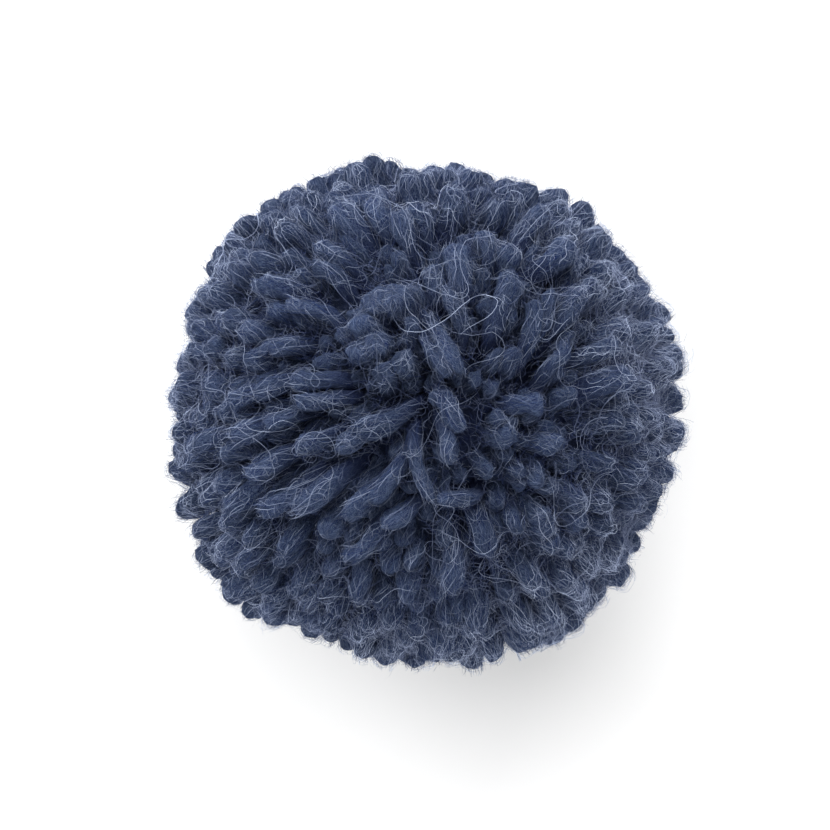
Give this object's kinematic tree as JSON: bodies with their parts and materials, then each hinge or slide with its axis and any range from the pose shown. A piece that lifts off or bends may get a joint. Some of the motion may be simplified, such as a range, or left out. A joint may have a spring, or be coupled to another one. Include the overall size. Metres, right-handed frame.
{
  "type": "yarn pom pom",
  "caption": "Trimmed ball of soft bulky yarn ends, bound at its middle, with a small flat spot underneath to rest on.",
  "frame": {"origin": "on the resting surface, under the middle of the ball's box", "axes": "+Z up, close to the end of the yarn bundle that faces the camera in the picture; +X to the right in the picture and +Y up in it"},
  "size_m": [0.098, 0.0984, 0.0954],
  "materials": {
    "yarn": "matte, brushed and hairy"
  },
  "bodies": {
    "root": {"yarn_locks": "yarn"}
  },
  "joints": []
}
